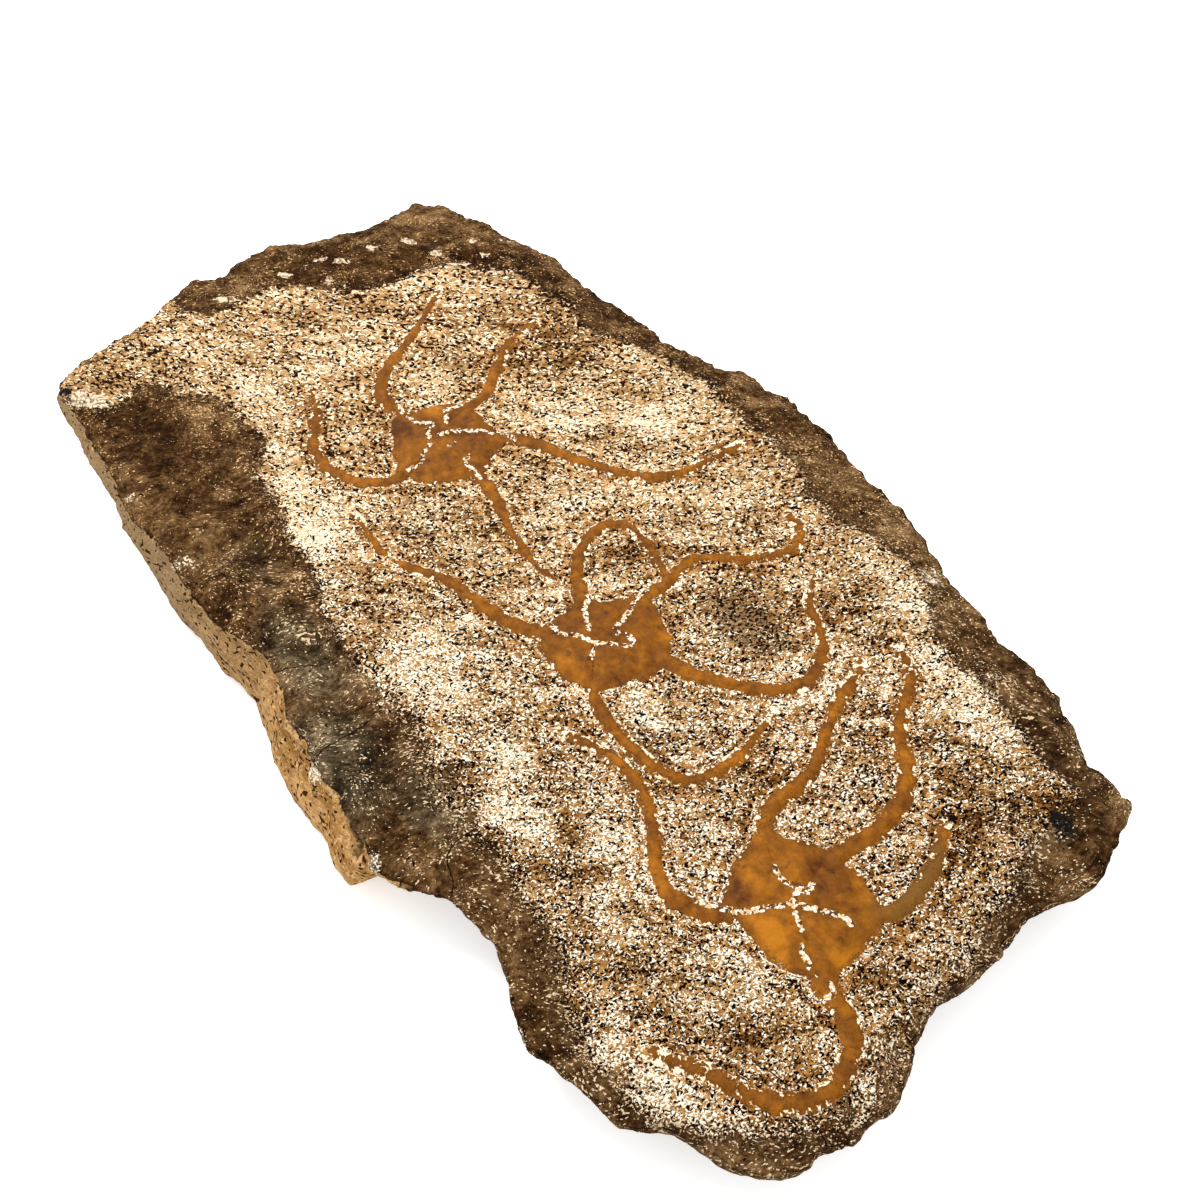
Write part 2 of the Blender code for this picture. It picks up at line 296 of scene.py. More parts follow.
# The upper edge lies back from the foot along two front stretches, and over it at a corner:
# the last number is how far, in millimetres.
LEANING = [(16, -88, 48, 16, 0, 3.4), (98, -87, 28, 14, 0, 2.4), (148, 64, 10, 10, 0, 3)]
stone = corners_of(slab)
lean = patches(plan_of(stone), LEANING) * rise(stone[:, 2], 3 * MM, 20 * MM) * MM
stone[:, 1] += lean
# The foot is broken away under the bay in the front edge.
UNDERCUT = [(70, -80, 17, 14, -20, 1)]
UNDERCUT_SHIFT = (-5 * MM, 5 * MM)
hollow = patches(plan_of(stone), UNDERCUT) * (1 - rise(stone[:, 2], 2 * MM, 16 * MM))
stone[:, :2] += hollow[:, None] * UNDERCUT_SHIFT
move_corners(slab, stone)

facing = normals_of(slab)
on_side = (1 - rise(facing[:, 2], 0.5, 0.85)) * rise(stone[:, 2], 0.3 * MM, 3 * MM)
worked = rise(depth_inside(plan_of(stone), WORKED), -2, 2) * (1 - on_side)
weight_by(slab, "side_push", on_side)
weight_by(slab, "rind_push", (1 - worked) * rise(facing[:, 2], 0.2, 0.8))
weight_by(slab, "worked_push", worked)
# Scalloped, chipped rind along the far end and the back edge.
CHIPPED_RIND = [(-148, 25, 62, 22, 62, 1), (20, 90, 60, 10, 0, 0.6), (110, 66, 60, 14, 0, 0.6)]
chipped = patches(plan_of(stone), CHIPPED_RIND) * (1 - worked) * rise(facing[:, 2], 0.2, 0.8)
weight_by(slab, "chipped_push", chipped)
weight_by(slab, "under_push", 1 - rise(stone[:, 2], 0.1 * MM, 1 * MM))
roughen(slab, "waves", "CLOUDS", size=26 * MM, height=1 * MM, group="worked_push", noise_depth=1)
roughen(slab, "hollows", "CLOUDS", size=20 * MM, height=1.4 * MM, group="rind_push", middle=0.6,
        noise_depth=1)
roughen(slab, "scallops", "VORONOI", size=9 * MM, height=3 * MM, group="chipped_push", middle=0.4)
roughen(slab, "bulges", "CLOUDS", size=11 * MM, height=2.6 * MM, group="side_push", noise_depth=2)
roughen(slab, "seat", "CLOUDS", size=24 * MM, height=1.4 * MM, group="under_push", middle=0.9,
        noise_depth=2)

# Knock flat flakes off its sides and its upper edge: each one takes the proudest spot there
# down to a plane, and fades out round it.
flaker = random.Random(CHIP_SEED)
stone, facing = corners_of(slab), normals_of(slab)
sides = np.flatnonzero((np.abs(facing[:, 2]) < 0.6) & (stone[:, 2] > 3 * MM))
on_edge = (facing[:, 2] > 0.3) & (stone[:, 2] > EDGE_FOOT)
edges = np.flatnonzero(on_edge & (facing[:, 2] < 0.92))
brinks = np.flatnonzero(on_edge & (facing[:, 2] < 0.985))
brows = np.flatnonzero((np.abs(facing[:, 2]) < 0.5) & (stone[:, 2] > 16 * MM))
FLAKES = [  # corners to start from, reach and depth in millimetres, tilt, how many
    (sides, (4, 10), (0.15, 0.6), 0.2, 320), (brows, (3, 8), (0.4, 1.4), 0.5, 180),
    (edges, (3, 7), (0.3, 0.9), 0.4, 380), (brinks, (1.8, 4.5), (0.3, 1.2), 0.7, 1500)]
for starts, reach, depth, tilt, count in FLAKES:
    for start in flaker.sample(list(starts), min(count, len(starts))):
        turn = Vector([flaker.uniform(-tilt, tilt) for _ in range(3)])
        out = np.array((Vector(facing[start]) + turn).normalized())
        away = np.linalg.norm(stone - stone[start], axis=1) / (flaker.uniform(*reach) * MM)
        near = np.flatnonzero((away < 1) & (stone[:, 2] > 1.5 * MM))
        proud = stone[near] @ out
        cut = np.maximum(proud - proud.max() + flaker.uniform(*depth) * MM, 0)
        stone[near] -= np.outer(cut * (1 - rise(away[near], 0.7, 1)), out)
move_corners(slab, stone)
roughen(slab, "crumbs", "CLOUDS", size=3.2 * MM, height=1.1 * MM, group="side_push", noise_depth=3)
roughen(slab, "bark", "CLOUDS", size=5 * MM, height=1.3 * MM, group="rind_push", noise_depth=3)
roughen(slab, "scrapes", "CLOUDS", size=2.4 * MM, height=0.5 * MM, group="worked_push", noise_depth=2)
move_corners(slab, np.clip(corners_of(slab), *np.array(solid_box)))  # it stays in the solid's box

# The layers that colour it: worked field, sides, patches, nearness to a fossil, cracks. A mark
# is x, y, half length, half width, turn and strength, as it is in the lists above.
PALE_MARKS = [
    (-57, -46, 34, 7, -14, 0.85), (16, -48, 24, 9, -5, 0.8), (66, -54, 14, 7, 0, 0.7),
    (50, -47, 8, 5, 0, 1),
    (87, -41, 10, 6, 0, 0.6), (-20, 58, 17, 12, 0, 0.35), (72, 68, 20, 6, -8, 0.6),
    (58, -10, 8, 5, 0, 0.6), (104, 57, 30, 5, 0, 0.35), (98, -49, 9, 7, 0, 0.5),
    (118, 52, 14, 5, -12, 0.4), (128, -66, 26, 5, -4, 0.5),
    (78, 30, 8, 6, 0, 0.5), (-100, -33, 18, 7, 0, 0.6)]
GREY_MARKS = [
    (54, 26, 13, 9, 10, 0.8), (68, -17, 9, 4, 0, 0.6), (-25, -24, 9, 4, 0, 0.4),
    (-9, -71, 22, 9, 0, 0.9), (25, -80, 20, 13, 0, 1), (49, -69, 13, 8, 0, 0.8),
    (-45, -66, 12, 8, 0, 0.4), (145, 45, 4, 3, 0, 0.7)]
DARK_MARKS = [
    (-105, -68, 34, 12, 0, 0.7), (152, 53, 14, 10, 0, 1), (-153, 7, 8, 5, 53, 0.9),
    (-142, 34, 14, 5, 53, 0.9), (-142, 57, 9, 5, 53, 0.6), (-122, 62, 7, 4, 53, 0.9),
    (-120, 18, 22, 9, 0, 0.4), (-103, 60, 10, 6, 0, 0.5), (91, 5, 10, 8, 0, 0.3),
    (140, -44, 17, 9, 0, 0.4), (112, -48, 20, 8, 0, 0.3), (128, 30, 14, 8, -40, 0.7),
    (-90, 60, 50, 40, 0, 0.35)]
CHALK_MARKS = [
    (-138, -76, 11, 4.5, 30, 1.35), (27, 59, 6, 1.5, 10, 0.9), (71, 80, 5, 5, 0, 0.9),
    (-90, -83, 4, 2, 20, 0.9), (-58, -82, 5, 2.5, 40, 0.9), (23, -86, 5, 2, -20, 0.9),
    (54, -87, 4, 2, -20, 0.8), (143, 56, 3, 1.2, 20, 1), (104, 66, 6, 1.2, 50, 0.8),
    (-157.7, 16.4, 3.2, 1.8, 55, 1.6), (-156.5, 2.2, 3, 1.8, 40, 1.5), (-151, 34, 2.8, 1.8, 55, 1.6),
    (-148, 47, 3.6, 1.7, 35, 1.6), (-136, 50.7, 3, 1.7, 60, 1.5), (-135, 64.6, 2.4, 1.6, 50, 1.5),
    (-126, 64, 2.8, 1.7, 50, 1.6), (-151, 22, 4, 1.4, 48, 1.4), (-127, 53.4, 5, 1.5, 55, 1.4),
    (-156, -19.4, 6, 2, 60, 1.3), (-145, 13.5, 1.6, 2.4, 55, 1.3), (-139, 16.4, 1.5, 2.6, 53, 1.3),
    (-131, 76, 3, 1, 50, 0.9), (-116, 60, 6, 1.3, 45, 1),
    (109.5, -83.7, 4, 0.9, -32, 1), (91, -78.5, 6, 0.9, -17, 1)]
STAINS = [
    (144, 47, 6, 3.5, 0, 1), (-172, -73, 6, 3, 60, 1), (-160, -78, 5, 2, 20, 0.9),
    (-147, -80, 5, 1.8, 30, 0.95)]
GREY_SIDE = [(-100, -75, 90, 45, 0, 1)]
CRACKS = [
    [(62.5, -65), (63, -71), (66, -74.6), (72, -77.5)],
    [(-3, -64), (-3, -69), (-6, -74), (-10, -80)],
    [(20.4, -69), (20.8, -86.7)],
    [(142, -47.5), (150, -46), (165, -46.7)]]
FRINGE_MARKS = [  # where the scratches thin out slowly into the rind
    (48, -64, 44, 10, 0, 1), (112, -70, 40, 8, 0, 0.8), (158, -28, 12, 26, 0, 1),
    (152, 8, 8, 12, 0, 0.7), (-20, 84, 24, 5, 0, 0.4)]
FINER_OVER = 350  # the run over which the strokes double in number, in millimetres
TAN_SIDE = [(-200, -120), (60, -120), (62, -84), (40, -60), (-140, -60), (-150, -30), (-200, 0)]
STAR_NODES = ("starfish_upper", "starfish_middle", "starfish_lower")
SEARCH = 30  # how far from a star its nearness is measured, in millimetres
OFF_THE_FACE = 200  # taken from the depth inside the worked field below the slab's rim

stone = corners_of(slab)
spots = plan_of(stone)
near_star = np.full(len(stone), float(SEARCH))
ready = bpy.context.evaluated_depsgraph_get()
ground = BVHTree.FromObject(frame["nodes"]["matrix_slab"], ready)
for name in STAR_NODES:
    faces = BVHTree.FromObject(frame["nodes"][name], ready)
    for corner in np.flatnonzero(stone[:, 2] > 18 * MM):
        gap = faces.find_nearest(Vector(stone[corner]), SEARCH * MM)[3]
        if gap is not None:
            near_star[corner] = min(near_star[corner], gap / MM)
FAR_FROM_CRACKS = 9.0
crack, crack_here = np.full(len(spots), FAR_FROM_CRACKS), np.zeros(len(spots))
for line in CRACKS:
    gap, side, _ = line_distance(spots, line)
    crack = np.where(gap < 4, gap * side, crack)
    crack_here = np.maximum(crack_here, 1 - rise(gap, 2, 4))
upper = rise(stone[:, 2], 9 * MM, 13 * MM)  # all marks lie on the upper face and its rim
keep_layer(slab, "upper", upper)
keep_layer(slab, "worked", depth_inside(spots, WORKED) - OFF_THE_FACE * (1 - upper))
keep_layer(slab, "foot", 1 - rise(stone[:, 2], 0.5 * MM, 4 * MM))
# The needle's strokes grow finer towards the near end, and lie along one direction.
toward, sideways = spots @ (0.8, -0.6), spots @ (0.6, 0.8)
strokes = slab.data.attributes.new("strokes", "FLOAT_VECTOR", "POINT")
strokes.data.foreach_set("vector", np.column_stack((
    sideways * (1 + toward / FINER_OVER), toward + toward ** 2 / (2 * FINER_OVER),
    stone[:, 2] / MM)).astype(np.float32).ravel())
keep_layer(slab, "side", on_side)
keep_layer(slab, "tan_side", rise(depth_inside(spots, TAN_SIDE), -6, 6))
for layer, marks in (("fringe", FRINGE_MARKS), ("pale", PALE_MARKS), ("grey", GREY_MARKS),
                     ("dark", DARK_MARKS), ("chalk", CHALK_MARKS), ("stain", STAINS)):
    keep_layer(slab, layer, patches(spots, marks) * upper)
keep_layer(slab, "grey_side", patches(spots, GREY_SIDE))
keep_layer(slab, "near_star", near_star)
keep_layer(slab, "crack", crack)
keep_layer(slab, "crack_here", crack_here * (1 - on_side) * upper)


class Shades:
    """A material's node tree, with short ways to add nodes to it."""

    def __init__(self, name):
        self.material = bpy.data.materials.new(name)
        self.material.use_nodes = True
        self.tree = self.material.node_tree
        self.shader = self.tree.nodes["Principled BSDF"]
        self.place = self.add("TexCoord").outputs["Object"]

    def add(self, kind, inputs=(), **settings):
        """A new node; each input is a value or another node's output."""
        made = self.tree.nodes.new("ShaderNode" + kind)
        for name, value in settings.items():
            setattr(made, name, value)
        for key, value in dict(inputs).items():
            if isinstance(value, bpy.types.NodeSocket):
                self.tree.links.new(value, made.inputs[key])
            else:
                made.inputs[key].default_value = value
        return made

    def layer(self, name):
        """A number that keep_layer has stored."""
        return self.add("Attribute", attribute_name=name).outputs["Fac"]

    def noise(self, scale, detail=2.0, rough=0.5, swirl=0.0, place=None):
        """Cloudy noise about 0.5, with so many lumps to the metre."""
        return self.add("TexNoise", {
            "Vector": place or self.place, "Scale": scale, "Detail": detail,
            "Roughness": rough, "Distortion": swirl}).outputs["Fac"]

    def math(self, operation, first, second=0.0):
        return self.add("Math", {0: first, 1: second}, operation=operation).outputs[0]

    def both(self, first, second):
        """The product: where the one and the other hold."""
        return self.math("MULTIPLY", first, second)

    def less(self, value):
        """1 where the value is 0, and 0 where it is 1."""
        return self.math("SUBTRACT", 1.0, value)

    def sum(self, *parts):
        """Values added up, each given alone or with the number it is multiplied by."""
        total = 0.0
        for part in parts:
            value, share = part if isinstance(part, tuple) else (part, 1.0)
            total = self.add("Math", {0: value, 1: share, 2: total},
                             operation="MULTIPLY_ADD").outputs[0]
        return total

    def step(self, value, low, high):
        """0 below low, 1 above high, smooth between."""
        return self.add("MapRange", {"Value": value, "From Min": low, "From Max": high},
                        interpolation_type="SMOOTHSTEP").outputs["Result"]

    def mix(self, share, first, second, blend="MIX"):
        return self.add("Mix", {0: share, 6: first, 7: second}, data_type="RGBA",
                        blend_type=blend).outputs[2]

    def ramp(self, value, stops):
        """The colour for a value, between stops that are each a value and its colour."""
        made = self.add("ValToRGB", {"Fac": value})
        made.color_ramp.elements.remove(made.color_ramp.elements[1])
        for index, (place, colour) in enumerate(stops):
            new = made.color_ramp.elements.new
            stop = new(place) if index else made.color_ramp.elements[0]
            stop.position, stop.color = place, colour
        return made.outputs["Color"]

    def bump(self, height, distance, strength=1.0):
        """Fine relief, too small for the mesh."""
        made = self.add("Bump", {"Height": height, "Distance": distance, "Strength": strength})
        self.tree.links.new(made.outputs[0], self.shader.inputs["Normal"])


def tint(red, green, blue):
    """A colour of the stone in the light of this table, as an albedo: 0 to 255 on a screen."""
    return (*[(value / 255) ** 2.2 / 1.2 for value in (red, green, blue)], 1)


CREAM, PALE_CREAM, CHALK = tint(255, 241, 208), tint(255, 246, 222), tint(254, 240, 216)
PALE_TAN, TAN = tint(226, 182, 128), tint(176, 126, 66)
SHADOW_BROWN, DEEP_TAN, SIDE_PIT = tint(24, 10, 1), tint(40, 20, 5), tint(66, 40, 18)
STAIN, CHALK_GREY = tint(28, 27, 28), tint(152, 134, 112)
SIDE_TAN, SIDE_LIGHT, SIDE_GREY = tint(160, 112, 58), tint(216, 168, 108), tint(154, 128, 94)
FAR_GROUND = [(0.36, tint(118, 82, 42)), (0.46, tint(176, 132, 82)),
              (0.55, tint(210, 168, 116)), (0.68, tint(234, 198, 150))]
NEAR_GROUND = [(0.36, tint(90, 56, 20)), (0.46, tint(146, 102, 52)),
               (0.55, tint(184, 136, 80)), (0.68, tint(220, 176, 120))]
RIND = [(0.3, tint(32, 18, 6)), (0.42, tint(58, 37, 17)), (0.52, tint(84, 59, 34)),
        (0.62, tint(114, 85, 53)), (0.78, tint(156, 121, 83))]
GREY_RIND = [(0.3, tint(26, 20, 12)), (0.42, tint(52, 42, 28)), (0.52, tint(78, 65, 46)),
             (0.62, tint(106, 90, 67)), (0.78, tint(146, 127, 98))]
OCHRE_GLOW = (1.0, 0.84, 0.62, 1)

look = Shades("sandstone")
grain = look.noise(1500, 1)
slow = look.noise(38, 3)
# The needle's work: curled pale strokes (ridges) and dark ones (furrows) on a tan ground, partly
# painted highlight and shade.
CURL = 1.4 * MM  # how far the strokes bend
along = look.add("Attribute", attribute_name="strokes").outputs["Vector"]
along = look.add("VectorMath", {0: along, 1: (MM, MM, MM)}, operation="MULTIPLY").outputs[0]
curl = look.add("TexNoise", {"Vector": along, "Scale": 850, "Detail": 0}).outputs["Color"]
curled = look.add("VectorMath", {0: curl, 1: (CURL, CURL, CURL), 2: along},
                  operation="MULTIPLY_ADD").outputs[0]
curled = look.add("Mapping", {"Vector": curled, "Scale": (0.83, 1, 1)}).outputs[0]
beside = look.add("Mapping", {"Vector": curled, "Location": (3.1, 1.7, 0.4)}).outputs[0]
drawn_out = look.add("Mapping", {"Vector": along, "Scale": (0.5, 1.3, 1)}).outputs[0]
ridges = look.noise(1380, 0.7, 0.5, 0, curled)
furrows = look.noise(1280, 0.7, 0.5, 0, beside)
sweeps = look.noise(150, 4, 0.65, 0.5, drawn_out)
swathes = look.noise(55, 3, 0.6, 1.2, drawn_out)
chalk_noise = look.noise(260, 3, 0.7)
# Faint rings lie round the stars, where the needle followed their outlines.
rings = look.sum((look.layer("near_star"), 2.0), (chalk_noise, 5.0), (slow, 9.0))
rings = look.math("SINE", rings)
rings = look.both(rings, look.less(look.step(look.layer("near_star"), 2, 9)))
tone = look.sum((rings, 0.045), (slow, 0.15), (sweeps, 0.4), (swathes, 0.3),
                (look.layer("pale"), 0.13), (look.layer("dark"), -0.08),
                (look.layer("grey"), -0.1), (-0.425, 1.0))
nearness = look.step(look.add("SeparateXYZ", {0: along}).outputs[1], -0.06, 0.1)
ground_tone = look.sum((look.noise(420, 3, 0.65, 0, along), 0.6), (tone, 0.9), (0.2, 1.0))
ground_colour = look.mix(nearness, look.ramp(ground_tone, FAR_GROUND),
                         look.ramp(ground_tone, NEAR_GROUND))
ground_colour = look.mix(look.both(look.layer("grey"), 0.5), ground_colour, SIDE_GREY)
# The border is above zero on the worked field and ragged; it is drawn out along the fringe.
slope = look.sum((look.layer("fringe"), -0.38), (0.5, 1.0))
border = look.sum((look.both(look.layer("worked"), slope), 1.0),
                  (look.noise(150, 4, 0.75), 4.0), (slow, 1.5), (-2.75, 1.0))
faded = look.less(look.step(border, -1.2, 0.5))
busy = look.sum((chalk_noise, 0.5), (-0.25, 1.0))
# Pale flecks along the ridges: scratches, partly painted highlight on raised grains.
flecks_and_highlights = look.sum(ridges, (tone, 0.85), (busy, 0.6), (faded, -0.1), (nearness, 0.015))
flecks_and_highlights = look.step(flecks_and_highlights, 0.565, 0.585)
# Dark cuts along the furrows: scratches, partly painted shade in the furrows.
cuts_and_shade = look.less(look.step(look.sum(furrows, (tone, 0.4), (busy, -0.6)), 0.425, 0.44))
glow = look.both(look.less(look.step(look.layer("near_star"), 1, 10)), 0.6)
ground_colour = look.mix(glow, ground_colour, OCHRE_GLOW, "MULTIPLY")

# The natural rind: streaks that flow along the slab's short way, with pale flecks and nicks.
DRIFT = 12 * MM  # how far the streaks wander
SHORT_WAY = 0.93  # the streaks' direction, in radians
flow = look.add("TexNoise", {"Vector": look.place, "Scale": 60, "Detail": 1}).outputs["Color"]
flow = look.add("VectorMath", {0: flow, 1: (DRIFT, DRIFT, DRIFT), 2: look.place},
                operation="MULTIPLY_ADD").outputs[0]
flow = look.add("Mapping", {"Vector": flow, "Rotation": (0, 0, SHORT_WAY), "Scale": (1.4, 0.9, 1)},
                vector_type="TEXTURE").outputs[0]
streaks = look.noise(200, 4, 0.65, 0.3, flow)
fine_streaks = look.noise(900, 2, 0.6, 0, flow)
broad, mottle = look.noise(42, 3, 0.6), look.noise(120, 4, 0.7)
rind_tone = look.sum((broad, 0.5), (streaks, 0.6), (fine_streaks, 0.5),
                     (mottle, 0.5), (grain, 0.2), (look.layer("dark"), -0.1),
                     (-0.615, 1.0))
rind = look.mix(look.layer("grey"), look.ramp(rind_tone, RIND), look.ramp(rind_tone, GREY_RIND))
near_field = look.step(look.layer("worked"), -16, 0)
crowd = look.sum((mottle, 0.5), (look.layer("grey"), 0.01), (look.layer("dark"), -0.06),
                 (near_field, 0.05))
rind_flecks = look.step(look.sum(look.noise(1600, 1, 0.5, 0, flow), crowd), 0.92, 0.96)
rind = look.mix(rind_flecks, rind, look.mix(look.both(nearness, 0.5), PALE_TAN, CREAM))
rind_nicks = look.step(look.sum(look.noise(1000, 1, 0.5, 0, beside), (crowd, 0.6)), 0.85, 0.89)
rind = look.mix(rind_nicks, rind, SHADOW_BROWN)

# The broken sides: tan rock in faint beds, with small dark pits, and darker towards the foot.
wall = look.add("Mapping", {"Vector": look.place, "Scale": (0.8, 0.8, 1.5)}).outputs[0]
pits = look.sum(look.noise(800, 0.5, 0.5, 0, wall), (look.noise(90, 2), 0.35))
pits = look.less(look.step(pits, 0.52, 0.55))
bedded = look.add("Mapping", {"Vector": look.place, "Scale": (0.3, 0.3, 2.2)}).outputs[0]
beds = look.noise(230, 3, 0.65, 0, bedded)
side_tone = look.sum((look.noise(90, 3, 0.7, 0, wall), 0.6), (beds, 0.6))
side = look.mix(look.step(side_tone, 0.46, 0.74), SIDE_TAN, SIDE_LIGHT)
side = look.mix(look.step(look.noise(900, 1, 0.5, 0, wall), 0.6, 0.66), side, PALE_TAN)
side = look.mix(look.both(look.layer("grey_side"), 0.85), side, SIDE_GREY)
side = look.mix(pits, side, SIDE_PIT)
darker_foot = look.step(look.sum((look.layer("foot"), 0.7), (chalk_noise, 1.2)), 1.0, 1.2)
side = look.mix(look.both(darker_foot, 0.7), side, SIDE_PIT)
tan_here = look.step(look.sum((look.layer("tan_side"), 0.6), broad), 0.6, 0.8)
side = look.mix(tan_here, rind, side)

# Put together: rind with painted shadow along the border, the worked ground, its pale and dark
# strokes, the sides.
# A painted shadow darkens the rind along the border of the worked field.
painted_border_shadow = look.both(look.step(border, -2.2, -0.5), look.less(look.layer("fringe")))
rind = look.mix(look.both(painted_border_shadow, 0.45), rind, SHADOW_BROWN)
cleared = look.step(look.sum(border, (ridges, 3.0), (-1.5, 1.0)), -0.4, 0.3)
colour = look.mix(cleared, rind, ground_colour)
scraped = look.step(look.sum(border, (ridges, 2.0), (-1.0, 1.0)), -0.9, -0.3)
fleck_and_highlight_colour = look.mix(faded, look.mix(nearness, CREAM, PALE_CREAM), PALE_TAN)
colour = look.mix(look.both(flecks_and_highlights, scraped), colour, fleck_and_highlight_colour)
cut_and_shade_colour = look.mix(nearness, DEEP_TAN, SHADOW_BROWN)
colour = look.mix(look.both(cuts_and_shade, scraped), colour, cut_and_shade_colour)
rim = look.layer("side")
colour = look.mix(look.step(rim, 0.45, 0.6), colour, side)
# A painted shadow line and light crumbs run along the rim, and chalk, stains and cracks lie on top.
rim_shadow_line = look.both(look.step(rim, 0.25, 0.45), look.less(look.step(rim, 0.6, 0.85)))
rim_shadow_line = look.both(rim_shadow_line, look.less(look.step(chalk_noise, 0.5, 0.58)))
rim_shadow_line = look.both(rim_shadow_line, look.layer("upper"))
colour = look.mix(look.both(rim_shadow_line, 0.7), colour, SHADOW_BROWN)
rim_light = look.both(look.step(rim, 0.6, 0.7), look.less(look.step(rim, 0.8, 0.95)))
rim_light = look.both(rim_light, look.step(chalk_noise, 0.5, 0.56))
rim_light = look.both(rim_light, look.layer("upper"))
colour = look.mix(look.both(rim_light, 0.7), colour, PALE_TAN)
chalk = look.sum((look.layer("chalk"), 1.2), (ridges, 3.0), (chalk_noise, 2.4), (-3.2, 1.0))
warm_chalk = look.mix(look.both(look.less(nearness), 0.5), CHALK, PALE_TAN)
chalk_colour = look.mix(look.step(furrows, 0.42, 0.5), CHALK_GREY, warm_chalk)
colour = look.mix(look.step(chalk, 0.5, 0.62), colour, chalk_colour)
stain = look.sum((look.layer("stain"), 1.0), (chalk_noise, -1.6), (furrows, 1.6))
colour = look.mix(look.step(stain, 0.75, 0.95), colour, STAIN)
crack_line = look.sum(look.layer("crack"), (look.noise(120, 2, 0.6), 5.0), (-2.5, 1.0))
crack_line = look.less(look.step(look.math("ABSOLUTE", crack_line), 0.06, 0.28))
crack_line = look.both(crack_line, look.layer("crack_here"))
colour = look.mix(crack_line, colour, SHADOW_BROWN)
look.tree.links.new(colour, look.shader.inputs["Base Color"])
look.shader.inputs["Roughness"].default_value = 0.9
look.shader.inputs["Specular IOR Level"].default_value = 0.05
wall_relief = look.both(look.noise(260, 4, 0.7, 0, wall), rim)
look.bump(look.sum((ridges, 1.0), (furrows, 0.7), (chalk_noise, 2.0), (grain, 0.8),
                   (wall_relief, 6.0)), 0.7 * MM)
slab.data.materials.append(look.material)
slab.data.polygons.foreach_set("use_smooth", np.ones(len(slab.data.polygons), dtype=bool))
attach(slab, "root")
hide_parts("matrix_slab")

# Stars ---------------------------------------------------------------------------------------
# Each brittle star is a smooth ochre fossil in low relief, disc and arms in one. The arms are
# ribbons of small plates, and chalky beads fill the five furrows that meet at the mouth.
STAR_GRAIN = 0.6 * MM
STAR_RELIEF = 0.8  # share of the solid's height that stands free of the stone
SOLID_EDGE = 0.75 * MM  # a solid star's edge above the stone
SHOWN_EDGE = 0.12 * MM  # a finished star's edge above the stone
ROOT = 0.8 * MM  # how deep a finished star reaches into the stone
PLATE = 1.5  # length of one arm plate, in millimetres
PLATE_DIP, BEAD_RISE = 0.12, 0.2  # depth of a joint and height of a bead, in millimetres
ARM_GROWTH = (0.3, 0.75)  # width added to each flank at the disc, and more at the tip

